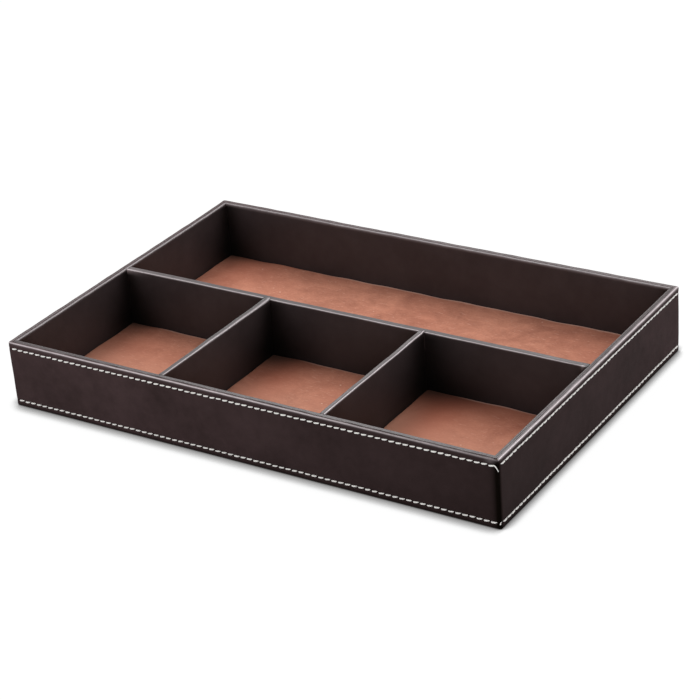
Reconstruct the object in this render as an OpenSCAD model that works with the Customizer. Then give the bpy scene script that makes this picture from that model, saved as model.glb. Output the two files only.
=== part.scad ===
// Leather desk tray with one long bin at the back and three bins in front.
// Boards are jointed into an open box, covered with leather and sewn along both edges.
// X runs along the front, Y from front to back, Z up. The origin is under the middle of the tray.

/* [Tray] */
// Length along the front, over the leather
tray_length = 350; // [280:1:450]
// Depth from front to back, over the leather
tray_depth = 240; // [180:1:320]
// Height of the rim above the table
tray_height = 45; // [36:1:80]
// Outside radius of the upright corners
corner_radius = 2.6; // [2.6:0.1:6]

/* [Boards] */
// Thickness of the wall boards
wall_board = 3; // [2.5:0.1:5]
// Thickness of the base board
base_thickness = 2.5; // [2:0.1:5]
// Thickness of the boards inside the dividers
divider_board = 2.8; // [2:0.1:5]
// Number of fingers in each corner joint of the wall boards
corner_fingers = 5; // [3:2:9]
// Height of the tabs at the ends of the dividers
tab_height = 14; // [8:1:20]
// Slack round each finger and tab in its slot
joint_clearance = 0.1; // [0.02:0.01:0.3]

/* [Leather] */
// Thickness of the leather
leather = 1; // [0.7:0.05:1.4]
// Radius of the two rolled edges along the rim
rim_roll_radius = 1.1; // [0.8:0.05:1.2]
// Depth of the seam groove between the two rolled edges
rim_groove = 0.4; // [0.2:0.05:0.5]
// Gap between two leather edges that meet
seam_gap = 0.15; // [0.05:0.05:0.4]
// Radius of the leather round the bottom edge
bottom_edge_radius = 0.8; // [0.6:0.1:1.5]
// Width of the leather turned under the base
turn_in = 15; // [9:1:30]
// Radius of the top edges of the dividers
divider_edge_radius = 1; // [0.5:0.1:1.5]

/* [Dividers] */
// Distance of the long divider behind the middle of the tray
long_divider_y = 0.6; // [-30:0.1:30]
// Clear width of the middle front bin
middle_bin_width = 110.8; // [60:0.2:150]
// Distance of the middle front bin to the right of the middle of the tray
middle_bin_x = -0.8; // [-20:0.1:20]
// Length of a cross divider's leather that laps onto the long divider
junction_lap = 2; // [1:0.1:2.2]

/* [Floor pads] */
// Thickness of the card under the suede
pad_card = 0.8; // [0.4:0.1:2]
// Thickness of the suede
suede = 0.7; // [0.4:0.1:1.5]
// Gap between a pad and the walls of its bin
pad_gap = 0.4; // [0.2:0.1:1]
// Radius of the corners of a pad
pad_corner_radius = 1.5; // [0.5:0.5:6]

/* [Underside] */
// Thickness of the felt under the tray
felt = 0.3; // [0.2:0.1:2]
// Distance of the edge of the felt from the outside of the tray
felt_inset = 4; // [3:0.5:7]

/* [Stitching] */
// Distance from one stitch to the next
stitch_pitch = 4.6; // [4:0.1:8]
// Length of a stitch
stitch_length = 3.6; // [2:0.1:3.8]
// Thickness of the thread
thread = 0.8; // [0.5:0.05:1]
// Distance of the upper row of stitches below the rim
upper_row_drop = 4.3; // [3:0.1:8]
// Distance of the lower row of stitches above the bottom edge of the leather
lower_row_rise = 3.5; // [2.2:0.1:8]
// Depth of the middle of the thread below the face of the leather
thread_sink = 0.1; // [0:0.05:0.2]
// Slack round the thread in its channel
thread_clearance = 0.05; // [0.02:0.01:0.1]

/* [Hidden] */
$fn = 48;

// Extra length of a cut past the surface that it opens
overrun = 2;

// Radius of the end of a stitch as a share of the thread's radius
stitch_tip_share = 0.45;
// Length of the taper at each end of a stitch as a share of its length
stitch_taper_share = 0.28;

// Thickness of a covered wall and of a covered divider
wall = wall_board + 2 * leather;
divider = divider_board + 2 * leather;

// Clear length and depth between the covered walls
inner_length = tray_length - 2 * wall;
inner_depth = tray_depth - 2 * wall;

// Heights, from the table up
base_bottom = felt + leather;
base_top = base_bottom + base_thickness;
suede_bottom = base_top + pad_card;
board_top = tray_height - leather;
roll_z = tray_height - rim_roll_radius;
groove_z = tray_height - rim_groove;
upper_row_z = tray_height - upper_row_drop;
lower_row_z = felt + lower_row_rise;

// Places of the cross dividers and of the faces of the long divider
left_cross_x = middle_bin_x - middle_bin_width / 2 - divider / 2;
right_cross_x = middle_bin_x + middle_bin_width / 2 + divider / 2;
long_front_y = long_divider_y - divider / 2;
long_back_y = long_divider_y + divider / 2;

// The wall boards stand on the base board
wall_board_height = board_top - base_top;
finger_height = wall_board_height / corner_fingers;
board_length = tray_length - 2 * leather;
board_depth = tray_depth - 2 * leather;
// Tabs reach through a lining and a wall board, or through half a cover and a divider board
wall_tab = leather + wall_board;
divider_tab = leather + divider_board;
tab_z = (base_top + board_top) / 2;

// Each bin as left, right, front and back
back_bin = [-inner_length / 2, inner_length / 2, long_back_y, inner_depth / 2];
left_bin = [-inner_length / 2, left_cross_x - divider / 2, -inner_depth / 2, long_front_y];
middle_bin = [left_cross_x + divider / 2, right_cross_x - divider / 2, -inner_depth / 2, long_front_y];
right_bin = [right_cross_x + divider / 2, inner_length / 2, -inner_depth / 2, long_front_y];

outer_brown = [0.21, 0.16, 0.155];
lining_brown = [0.17, 0.13, 0.13];
suede_brown = [0.72, 0.49, 0.40];
felt_black = [0.10, 0.09, 0.09];
card_grey = [0.62, 0.60, 0.56];
board_tan = [0.66, 0.52, 0.36];
thread_cream = [0.90, 0.87, 0.82];

// Shared shapes

module up(height) {
    translate([0, 0, height]) children();
}

// Rectangle with round corners, or square ones where the radius runs out
module rounded_rect(length, depth, radius) {
    if (radius > 0) {
        square([length - 2 * radius, depth], center = true);
        square([length, depth - 2 * radius], center = true);
        for (side_x = [-1, 1], side_y = [-1, 1]) {
            translate([side_x * (length / 2 - radius), side_y * (depth / 2 - radius)]) circle(radius);
        }
    } else {
        square([length, depth], center = true);
    }
}

// Plan of the tray at a distance in from its outside face
module plan(inset) {
    rounded_rect(tray_length - 2 * inset, tray_depth - 2 * inset, corner_radius - inset);
}

module plan_block(inset, bottom, top) {
    up(bottom) linear_extrude(top - bottom) plan(inset);
}

// Carries an outline round the four sides. Its x counts outwards from the axis of a corner.
module carry_round() {
    for (turn = [0 : 3]) {
        long_side = turn % 2 == 0;
        axis_out = (long_side ? tray_length : tray_depth) / 2 - corner_radius;
        axis_along = (long_side ? tray_depth : tray_length) / 2 - corner_radius;
        rotate(90 * turn) translate([axis_out, axis_along, 0]) {
            rotate([90, 0, 0]) linear_extrude(2 * axis_along) children();
            rotate_extrude(angle = 90) children();
        }
    }
}

// Upper half of a disc, for a rolled edge
module half_disc(radius) {
    intersection() {
        circle(radius);
        translate([-radius, 0]) square([2 * radius, radius]);
    }
}

// Lower outer quarter of a disc, for the bottom edge
module quarter_disc(radius) {
    intersection() {
        circle(radius);
        translate([0, -radius]) square(radius);
    }
}

// Boards

module base_board() {
    color(board_tan) plan_block(leather, base_bottom, base_top);
}

// Every second finger along the upright corner, starting one finger above the base
module corner_slots(thickness, clearance) {
    for (finger = [1 : 2 : corner_fingers - 2]) {
        translate([0, 0, base_top + finger * finger_height - clearance])
            linear_extrude(finger_height + 2 * clearance) square(thickness, center = true);
    }
}

// Slot for a divider's tab, as deep as the slab that it cuts
module tab_slot(length, width) {
    cube([length, width, tab_height + 2 * joint_clearance], center = true);
}

// Front and back boards run the full length and are notched for the side boards
module long_wall_board(side) {
    middle_y = side * (board_depth - wall_board) / 2;
    intersection() {
        difference() {
            translate([0, middle_y, base_top]) linear_extrude(wall_board_height)
                square([board_length, wall_board], center = true);
            for (end = [-1, 1]) {
                translate([end * (board_length - wall_board) / 2, middle_y, 0])
                    corner_slots(wall_board + 2 * joint_clearance, joint_clearance);
            }
            if (side < 0) {
                for (cross_x = [left_cross_x, right_cross_x]) {
                    translate([cross_x, middle_y, tab_z])
                        tab_slot(divider_board + 2 * joint_clearance, wall_board + overrun);
                }
            }
        }
        plan_block(leather, base_top - overrun, board_top + overrun);
    }
}

// Side boards stand between them, with fingers that reach into the notches
module side_wall_board(side) {
    middle_x = side * (board_length - wall_board) / 2;
    intersection() {
        difference() {
            union() {
                translate([middle_x, 0, base_top]) linear_extrude(wall_board_height)
                    square([wall_board, board_depth - 2 * wall_board], center = true);
                for (end = [-1, 1]) {
                    translate([middle_x, end * (board_depth - wall_board) / 2, 0])
                        corner_slots(wall_board, 0);
                }
            }
            translate([middle_x, long_divider_y, tab_z])
                tab_slot(wall_board + overrun, divider_board + 2 * joint_clearance);
        }
        plan_block(leather, base_top - overrun, board_top + overrun);
    }
}

module front_wall_board() {
    color(board_tan) long_wall_board(-1);
}

module back_wall_board() {
    color(board_tan) long_wall_board(1);
}

module left_wall_board() {
    color(board_tan) side_wall_board(-1);
}

module right_wall_board() {
    color(board_tan) side_wall_board(1);
}

// The long divider's tabs end flush with the outside of the side boards
module long_divider_board() {
    color(board_tan) difference() {
        translate([0, long_divider_y, 0]) {
            translate([0, 0, base_top]) linear_extrude(wall_board_height)
                square([inner_length, divider_board], center = true);
            translate([0, 0, tab_z])
                cube([inner_length + 2 * wall_tab, divider_board, tab_height], center = true);
        }
        for (cross_x = [left_cross_x, right_cross_x]) {
            translate([cross_x, long_divider_y, tab_z])
                tab_slot(divider_board + 2 * joint_clearance, divider_board + overrun);
        }
    }
}

// A cross divider's front tab goes into the front board, its back tab into the long divider
module cross_board(middle_x) {
    front_y = -inner_depth / 2;
    translate([middle_x - divider_board / 2, 0, 0]) {
        translate([0, front_y, base_top])
            cube([divider_board, long_front_y - front_y, wall_board_height]);
        translate([0, front_y - wall_tab, tab_z - tab_height / 2])
            cube([divider_board, long_front_y - front_y + wall_tab + divider_tab, tab_height]);
    }
}

module left_cross_board() {
    color(board_tan) cross_board(left_cross_x);
}

module right_cross_board() {
    color(board_tan) cross_board(right_cross_x);
}

// Leather

// Slit along the diagonal of the front right corner, from inside the turned-in edge outwards
module corner_slit(outer_inset, top) {
    inner_reach = (turn_in + overrun) * sqrt(2);
    outer_reach = outer_inset * sqrt(2);
    translate([tray_length / 2, -tray_depth / 2, -overrun]) rotate(135)
        translate([outer_reach, -seam_gap / 2, 0])
            cube([inner_reach - outer_reach, seam_gap, top + overrun]);
}

// Mirrors what is drawn at the front right corner to another corner
module at_corner(side_x, side_y) {
    mirror([side_x < 0 ? 1 : 0, 0, 0]) mirror([0, side_y > 0 ? 1 : 0, 0]) children();
}

// One strip covers the outside. It rolls over the rim as far as the seam and is turned under
// the base. Its ends meet at the front right corner, and the turned-in edge is slit at the others.
module outer_wrap() {
    color(outer_brown) difference() {
        union() {
            plan_block(bottom_edge_radius, felt, felt + bottom_edge_radius);
            plan_block(0, felt + bottom_edge_radius, roll_z);
            plan_block(rim_roll_radius, roll_z, groove_z);
            carry_round() translate([corner_radius - rim_roll_radius, roll_z]) half_disc(rim_roll_radius);
            carry_round() translate([corner_radius - bottom_edge_radius, felt + bottom_edge_radius])
                quarter_disc(bottom_edge_radius);
        }
        plan_block(leather, base_bottom, board_top);
        plan_block((wall + seam_gap) / 2, base_bottom, tray_height + overrun);
        plan_block(turn_in, -overrun, base_top);
        for (row_z = [upper_row_z, lower_row_z]) {
            carry_round() translate([corner_radius - thread_sink, row_z])
                circle(thread / 2 + thread_clearance);
        }
        corner_slit(-overrun, tray_height + overrun);
        for (side_x = [-1, 1], side_y = [-1, 1]) {
            at_corner(side_x, side_y) corner_slit(corner_radius, base_top);
        }
    }
}

// Section of a lining: a sheet up the board, a rolled edge and a fold as far as the seam
module lining_section(half_width) {
    bin_face = half_width - wall;
    difference() {
        union() {
            translate([bin_face, base_top]) square([leather, roll_z - base_top]);
            translate([bin_face + rim_roll_radius, roll_z]) half_disc(rim_roll_radius);
            translate([bin_face + rim_roll_radius, roll_z])
                square([wall / 2 - rim_roll_radius, groove_z - roll_z]);
        }
        translate([bin_face + leather, base_top - overrun])
            square([wall_board, board_top - base_top + overrun]);
    }
}

// One lining, drawn for a wall that faces along X and cut on the diagonals of the corners
module lining_run(half_width, run) {
    inner_x = half_width - wall - overrun;
    inner_y = run / 2 - wall - overrun - seam_gap / 2;
    outer_y = run / 2 - seam_gap / 2;
    intersection() {
        translate([0, run / 2, 0]) rotate([90, 0, 0]) linear_extrude(run) lining_section(half_width);
        linear_extrude(tray_height + overrun)
            polygon([[inner_x, -inner_y], [half_width, -outer_y], [half_width, outer_y], [inner_x, inner_y]]);
    }
}

module wall_lining(turn, half_width, run) {
    intersection() {
        rotate(90 * turn) lining_run(half_width, run);
        plan_block((wall + seam_gap) / 2, 0, tray_height + overrun);
    }
}

module front_wall_lining() {
    color(lining_brown) difference() {
        wall_lining(3, tray_depth / 2, tray_length);
        for (cross_x = [left_cross_x, right_cross_x]) {
            translate([cross_x, -(inner_depth + leather) / 2, tab_z])
                tab_slot(divider_board + 2 * joint_clearance, leather + overrun);
        }
    }
}

module back_wall_lining() {
    color(lining_brown) wall_lining(1, tray_depth / 2, tray_length);
}

module side_wall_lining(turn, side) {
    difference() {
        wall_lining(turn, tray_length / 2, tray_depth);
        translate([side * (inner_length + leather) / 2, long_divider_y, tab_z])
            tab_slot(leather + overrun, divider_board + 2 * joint_clearance);
    }
}

module left_wall_lining() {
    color(lining_brown) side_wall_lining(2, -1);
}

module right_wall_lining() {
    color(lining_brown) side_wall_lining(0, 1);
}

// Section of a divider's cover: both faces and a top with round edges, over the board
module divider_section() {
    height = tray_height - base_top;
    difference() {
        union() {
            translate([-divider / 2, 0]) square([divider, height - divider_edge_radius]);
            translate([divider_edge_radius - divider / 2, 0])
                square([divider - 2 * divider_edge_radius, height]);
            for (side = [-1, 1]) {
                translate([side * (divider / 2 - divider_edge_radius), height - divider_edge_radius])
                    circle(divider_edge_radius);
            }
        }
        translate([-divider_board / 2, -overrun]) square([divider_board, wall_board_height + overrun]);
    }
}

module long_divider_wrap() {
    color(lining_brown) difference() {
        translate([-inner_length / 2, long_divider_y, base_top]) rotate([90, 0, 90])
            linear_extrude(inner_length) divider_section();
        for (cross_x = [left_cross_x, right_cross_x]) {
            translate([cross_x, long_front_y, tab_z])
                tab_slot(divider_board + 2 * joint_clearance, 2 * leather);
            lap_notch(cross_x);
        }
    }
}

// Notch in the top of the long divider's cover for the end of a cross divider's cover
module lap_notch(middle_x) {
    translate([middle_x - divider / 2 - seam_gap, long_front_y - overrun, board_top])
        cube([divider + 2 * seam_gap, junction_lap + seam_gap + overrun, leather + overrun]);
}

// A cross divider's cover ends at the long divider, but its top laps onto it
module cross_wrap(middle_x) {
    run = long_front_y + inner_depth / 2;
    translate([middle_x, long_front_y, base_top]) rotate([90, 0, 0])
        linear_extrude(run) divider_section();
    translate([middle_x, long_front_y + junction_lap, base_top]) rotate([90, 0, 0])
        linear_extrude(run + junction_lap) intersection() {
            divider_section();
            translate([-divider / 2, wall_board_height]) square([divider, leather + overrun]);
        }
}

module left_cross_wrap() {
    color(lining_brown) cross_wrap(left_cross_x);
}

module right_cross_wrap() {
    color(lining_brown) cross_wrap(right_cross_x);
}

// Floor pads

module bin_sheet(bin, bottom, thickness) {
    length = bin[1] - bin[0] - 2 * pad_gap;
    depth = bin[3] - bin[2] - 2 * pad_gap;
    translate([(bin[0] + bin[1]) / 2, (bin[2] + bin[3]) / 2, bottom])
        linear_extrude(thickness) rounded_rect(length, depth, pad_corner_radius);
}

module back_bin_card() {
    color(card_grey) bin_sheet(back_bin, base_top, pad_card);
}

module left_bin_card() {
    color(card_grey) bin_sheet(left_bin, base_top, pad_card);
}

module middle_bin_card() {
    color(card_grey) bin_sheet(middle_bin, base_top, pad_card);
}

module right_bin_card() {
    color(card_grey) bin_sheet(right_bin, base_top, pad_card);
}

module back_bin_suede() {
    color(suede_brown) bin_sheet(back_bin, suede_bottom, suede);
}

module left_bin_suede() {
    color(suede_brown) bin_sheet(left_bin, suede_bottom, suede);
}

module middle_bin_suede() {
    color(suede_brown) bin_sheet(middle_bin, suede_bottom, suede);
}

module right_bin_suede() {
    color(suede_brown) bin_sheet(right_bin, suede_bottom, suede);
}

// The felt lies under the turned-in leather and steps up to the base board inside it
module underside_felt() {
    color(felt_black) difference() {
        plan_block(felt_inset, 0, base_bottom);
        difference() {
            plan_block(felt_inset - overrun, felt, base_bottom + overrun);
            plan_block(turn_in, 0, base_bottom + 2 * overrun);
        }
        plan_block(turn_in + felt, -overrun, leather);
    }
}

// Stitching

// One stitch: a piece of thread along X that tapers towards its holes
module stitch() {
    radius = thread / 2;
    tip = radius * stitch_tip_share;
    half = stitch_length / 2;
    shoulder = half - stitch_length * stitch_taper_share;
    rotate([0, 90, 0]) rotate_extrude()
        polygon([[0, -half], [tip, -half], [radius, -shoulder], [radius, shoulder], [tip, half], [0, half]]);
}

// A row fills the straight part of one side from corner to corner
module stitch_row(turn, row_z) {
    long_side = turn % 2 == 1;
    run = (long_side ? tray_length : tray_depth) - 2 * corner_radius;
    face = (long_side ? tray_depth : tray_length) / 2 - thread_sink;
    count = floor((run + stitch_pitch - stitch_length) / stitch_pitch);
    color(thread_cream) rotate(90 * turn) translate([face, 0, row_z]) rotate(90)
        for (i = [0 : count - 1]) {
            translate([(i - (count - 1) / 2) * stitch_pitch, 0, 0]) stitch();
        }
}

module front_upper_stitches() {
    stitch_row(3, upper_row_z);
}

module front_lower_stitches() {
    stitch_row(3, lower_row_z);
}

module back_upper_stitches() {
    stitch_row(1, upper_row_z);
}

module back_lower_stitches() {
    stitch_row(1, lower_row_z);
}

module left_upper_stitches() {
    stitch_row(2, upper_row_z);
}

module left_lower_stitches() {
    stitch_row(2, lower_row_z);
}

module right_upper_stitches() {
    stitch_row(0, upper_row_z);
}

module right_lower_stitches() {
    stitch_row(0, lower_row_z);
}

base_board();
front_wall_board();
back_wall_board();
left_wall_board();
right_wall_board();
long_divider_board();
left_cross_board();
right_cross_board();
outer_wrap();
front_wall_lining();
back_wall_lining();
left_wall_lining();
right_wall_lining();
long_divider_wrap();
left_cross_wrap();
right_cross_wrap();
back_bin_card();
left_bin_card();
middle_bin_card();
right_bin_card();
back_bin_suede();
left_bin_suede();
middle_bin_suede();
right_bin_suede();
underside_felt();
front_upper_stitches();
front_lower_stitches();
back_upper_stitches();
back_lower_stitches();
left_upper_stitches();
left_lower_stitches();
right_upper_stitches();
right_lower_stitches();
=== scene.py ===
"""Dresses the leather desk tray: sewn leather, suede floors, felt underside, camera, light and table.

Units are metres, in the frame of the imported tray: X along the front, Y to the back, Z up.
"""
import math

import bmesh
import bpy
import numpy as np
from mathutils import Matrix, Vector


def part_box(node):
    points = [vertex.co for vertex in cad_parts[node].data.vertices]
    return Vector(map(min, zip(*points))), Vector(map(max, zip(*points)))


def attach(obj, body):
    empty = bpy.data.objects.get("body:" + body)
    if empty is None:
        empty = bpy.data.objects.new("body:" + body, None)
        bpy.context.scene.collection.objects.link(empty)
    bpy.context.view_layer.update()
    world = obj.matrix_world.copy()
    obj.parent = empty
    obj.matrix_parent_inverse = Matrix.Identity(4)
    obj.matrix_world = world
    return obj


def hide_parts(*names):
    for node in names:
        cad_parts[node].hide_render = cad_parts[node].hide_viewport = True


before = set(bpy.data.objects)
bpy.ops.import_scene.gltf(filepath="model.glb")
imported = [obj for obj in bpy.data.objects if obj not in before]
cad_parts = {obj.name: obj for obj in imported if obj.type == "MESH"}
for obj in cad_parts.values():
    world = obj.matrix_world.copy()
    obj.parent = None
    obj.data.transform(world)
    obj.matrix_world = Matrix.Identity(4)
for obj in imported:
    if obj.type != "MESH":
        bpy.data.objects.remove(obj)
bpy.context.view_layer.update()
MM = 0.001

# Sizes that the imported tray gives

wrap_low, wrap_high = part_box("outer_wrap")
board_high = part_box("front_wall_board")[1]
base_low, base_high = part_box("base_board")
lining_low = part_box("right_wall_lining")[0]
long_low, long_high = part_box("long_divider_wrap")
HALF_LENGTH = wrap_high.x
HALF_DEPTH = wrap_high.y
RIM = wrap_high.z
SKIN_BOTTOM = wrap_low.z
BOARD_TOP = board_high.z
BASE_BOTTOM = base_low.z
BASE_TOP = base_high.z
LEATHER = wrap_high.x - board_high.x
WALL = wrap_high.x - lining_low.x
LONG_FRONT = long_low.y

# Sizes that repeat the tray's construction

CORNER_RADIUS = 1.5 * MM
CORNER_GAP = 0.04 * MM
SHOULDER = 0.85 * MM
GROOVE = 0.4 * MM
SEAM_GAP = 0.15 * MM
BOTTOM_RADIUS = 0.8 * MM
TURN_IN = 15.0 * MM
DIVIDER_EDGE = 0.8 * MM
LAP = 2.0 * MM
PITCH = 4.6 * MM
STITCH = 3.6 * MM
THREAD = 1.0 * MM
row_boxes = [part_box(f"front_{row}_stitches") for row in ("upper", "lower")]
UPPER_ROW, LOWER_ROW = [(row_low.z + row_high.z) / 2 for row_low, row_high in row_boxes]

# The upright inner corners of the bins: where they stand, seen from above, and how far their painted shade
# reaches
BIN_CORNERS = []
for bin_name, reach in (("back", 27 * MM), ("left", 28 * MM), ("middle", 34 * MM), ("right", 48 * MM)):
    bin_low, bin_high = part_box(f"{bin_name}_bin_suede")
    BIN_CORNERS += [(bin_low.x, y, reach) for y in (bin_low.y, bin_high.y)]
    BIN_CORNERS += [(bin_high.x, y, 14 * MM) for y in (bin_low.y, bin_high.y)]
BIN_CORNERS = np.array(BIN_CORNERS)
# How far the long divider's front face leans back at its left and right end, in millimetres
LONG_LEAN = (-0.3, -0.9)
# Extra stations close to the upright seam, as distances from the corner's bend
NEAR_SEAM = np.linspace(0, 5.0 * MM, 21)[1:]
# Rings along a stitch and points round each ring
RINGS, SIDES = 7, 7
# Wave length without end, for ripples that run along one way only
ENDLESS = 1e9
# Points closer than this are merged
WELD = 1e-4 * MM
# How far round the tray its painted shadow darkens the table, as the ambient occlusion distance
SHADOW_REACH = 11.5 * MM
# Strength of the even light from all round
DAYLIGHT = 0.78
WHITE = (1.0, 1.0, 1.0, 1.0)


# Meshes from grids

def ripple(along, across, waves, seed):
    """Sum of sine waves over two lengths, from -1 to 1.

    Each wave is sin(2 pi (along / length_1 + across / length_2) + phase) with a seeded phase, and the
    sum is divided by the number of waves.
    """
    phases = np.random.default_rng(seed).uniform(0, 2 * np.pi, len(waves))
    total = 0.0
    for (length_1, length_2), phase in zip(waves, phases):
        total = total + np.sin(2 * np.pi * (along / length_1 + across / length_2) + phase)
    return total / len(waves)


def grid_faces(rows, columns, close_rows=False, close_columns=False, first=0):
    """Quads of a grid of points stored row after row, as an array of vertex numbers."""
    r = np.arange(rows if close_rows else rows - 1)[:, None]
    c = np.arange(columns if close_columns else columns - 1)[None, :]
    r2 = (r + 1) % rows
    c2 = (c + 1) % columns
    corners = (r * columns + c, r2 * columns + c, r2 * columns + c2, r * columns + c2)
    return np.stack([np.broadcast_to(q, (r.size, c.size)) for q in corners], -1).reshape(-1, 4) + first


def ramp(value, zero, one):
    """0 up to one place, 1 from another place on, and even in between."""
    return np.clip((value - zero) / (one - zero), 0, 1)


def eased(t):
    """Smooth step from 0 to 1: t t (3 - 2 t) with t kept between 0 and 1."""
    t = np.clip(t, 0, 1)
    return t * t * (3 - 2 * t)


def bell(way, width):
    """Bell curve: exp(-(way / width) ** 2)."""
    return np.exp(-(way / width) ** 2)


def between(ends, way):
    """From the first of two values to the second, as way goes from 0 to 1."""
    return ends[0] + (ends[1] - ends[0]) * way


def carried_faces(points):
    """Faces of a closed section that is carried along a path, with one face to close each end."""
    rows, columns = points.shape[:2]
    ends = np.arange(columns) + np.array([[0], [(rows - 1) * columns]])
    return [grid_faces(rows, columns, close_columns=True), ends]


def welded(points, face_sets):
    """Merges points that lie together and drops the faces that this empties.

    A corner of a face goes where the next corner is the same point, so a quad with one such pair
    becomes a triangle, and a face with fewer than three corners left goes.
    """
    keys = np.round(points / WELD).astype(np.int64)
    keep, new = np.unique(keys, axis=0, return_index=True, return_inverse=True)[1:]
    faces = []
    for face_set in face_sets:
        moved = new.reshape(-1)[face_set]
        kept = moved != np.roll(moved, -1, axis=1)
        for corners in range(3, moved.shape[1] + 1):
            rows = kept.sum(1) == corners
            faces += moved[rows][kept[rows]].reshape(-1, corners).tolist()
    return points[keep], faces, keep


def face_outwards(mesh):
    """Turns the faces of closed forms so that they point outwards."""
    form = bmesh.new()
    form.from_mesh(mesh)
    bmesh.ops.recalc_face_normals(form, faces=form.faces)
    form.to_mesh(mesh)
    form.free()


def make_piece(name, points, face_sets, material, replaced, sharp=40.0, attributes=None):
    """Puts points and faces into a mesh that rides on the tray and stands for its CAD nodes.

    Faces of three or four corners are shaded smooth, and the larger ones that close an end stay flat.
    """
    points, faces, keep = welded(np.asarray(points, float).reshape(-1, 3), face_sets)
    mesh = bpy.data.meshes.new(name)
    mesh.from_pydata(points.tolist(), [], faces)
    mesh.validate()
    face_outwards(mesh)
    corners = np.empty(len(mesh.polygons), np.int32)
    mesh.polygons.foreach_get("loop_total", corners)
    mesh.polygons.foreach_set("use_smooth", corners <= 4)
    mesh.set_sharp_from_angle(angle=math.radians(sharp))
    for key, values in (attributes or {}).items():
        values = np.asarray(values, float)
        wide = values.ndim > 1
        layer = mesh.attributes.new(key, "FLOAT_VECTOR" if wide else "FLOAT", "POINT")
        layer.data.foreach_set("vector" if wide else "value", values[keep].ravel())
    mesh.materials.append(material)
    piece = bpy.data.objects.new(name, mesh)
    bpy.context.scene.collection.objects.link(piece)
    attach(piece, "root")
    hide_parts(*replaced)
    return piece


def painted_highlight_band(section, place, width):
    """Weight of a thin painted highlight along an edge: exp(-(way along the section from the place / width)
    ** 2).
    """
    steps = np.linalg.norm(np.diff(section, axis=0), axis=1)
    way = np.concatenate([[0.0], np.cumsum(steps)])
    middle = way[np.argmin(np.hypot(section[:, 0] - place[0], section[:, 1] - place[1]))]
    return bell(way - middle, width)


def shoulder_place(outside, inward, degrees):
    """Point of a rounded edge whose normal stands some degrees off upright."""
    angle = math.radians(degrees)
    return outside + inward * SHOULDER * (1 - math.sin(angle)), RIM - SHOULDER * (1 - math.cos(angle))


def painted_corner_shade(points):
    """Painted shade from the upright corners of the bins at each point, from 0 to 1.

    With d as the distance to a corner, r as its reach and h running from 0 low down to 1 near the rim,
    it is 0.97 exp(-(d / r) ** 2) low down and 0.80 exp(-(3 d / r) ** 2) near the rim, mixed by h. The
    darkest corner counts, and the rolled edges at the rim stay free.
    """
    height = points.reshape(-1, 3)[:, 2]
    off = points.reshape(-1, 1, 3)[..., :2] - BIN_CORNERS[:, :2]
    share = (off ** 2).sum(-1) / BIN_CORNERS[:, 2] ** 2
    h = ramp(height, 12 * MM, 40 * MM)[:, None]
    dark = (0.97 * np.exp(-share) * (1 - h) + 0.80 * np.exp(-9 * share) * h).max(1)
    return dark * ramp(height, RIM - 0.3 * MM, RIM - 1.7 * MM)


# Shader maths

class Signal:
    """A number or colour that changes over a surface. Sums and products add Math nodes."""

    def __init__(self, graph, socket):
        self.graph = graph
        self.socket = socket

    def _math(self, operation, a, b=None, clamp=False):
        values = {0: a} if b is None else {0: a, 1: b}
        settings = {"operation": operation, "use_clamp": clamp}
        return self.graph.node("ShaderNodeMath", settings, values)

    def __add__(self, other):
        return self._math("ADD", self, other)

    def __radd__(self, other):
        return self._math("ADD", other, self)

    def __sub__(self, other):
        return self._math("SUBTRACT", self, other)

    def __rsub__(self, other):
        return self._math("SUBTRACT", other, self)

    def __mul__(self, other):
        return self._math("MULTIPLY", self, other)

    def __rmul__(self, other):
        return self._math("MULTIPLY", other, self)

    def __truediv__(self, other):
        return self._math("DIVIDE", self, other)

    def __pow__(self, other):
        return self._math("POWER", self, other)

    def __abs__(self):
        return self._math("ABSOLUTE", self)

    def fraction(self):
        return self._math("FRACT", self)

    def clamped(self):
        return self._math("ADD", self, 0.0, clamp=True)

    def above(self, low, high):
        """0 below low, 1 above high, and even in between."""
        return ((self - low) / (high - low)).clamped()

    def below(self, low, high):
        """1 below low, 0 above high."""
        return ((high - self) / (high - low)).clamped()


class Graph:
    """A tree of shader nodes that are added by expressions."""

    def __init__(self, tree):
        self.tree = tree

    def node(self, kind, settings, sockets, output=0):
        """Adds a node, sets it, feeds its sockets with values or signals and returns an output."""
        made = self.tree.nodes.new(kind)
        for key, value in settings.items():
            setattr(made, key, value)
        self.feed(made, sockets)
        return Signal(self, made.outputs[output])

    def feed(self, node, sockets):
        for key, value in sockets.items():
            if isinstance(value, Signal):
                self.tree.links.new(value.socket, node.inputs[key])
            else:
                node.inputs[key].default_value = value

    def seen(self):
        """1 for what the camera sees, directly, mirrored or through glass, and 0 for light on the tray."""
        kinds = ("Camera", "Glossy", "Transmission")
        camera, glossy, clear = [self.node("ShaderNodeLightPath", {}, {}, f"Is {kind} Ray") for kind in kinds]
        return (camera + glossy + clear).clamped()


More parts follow.
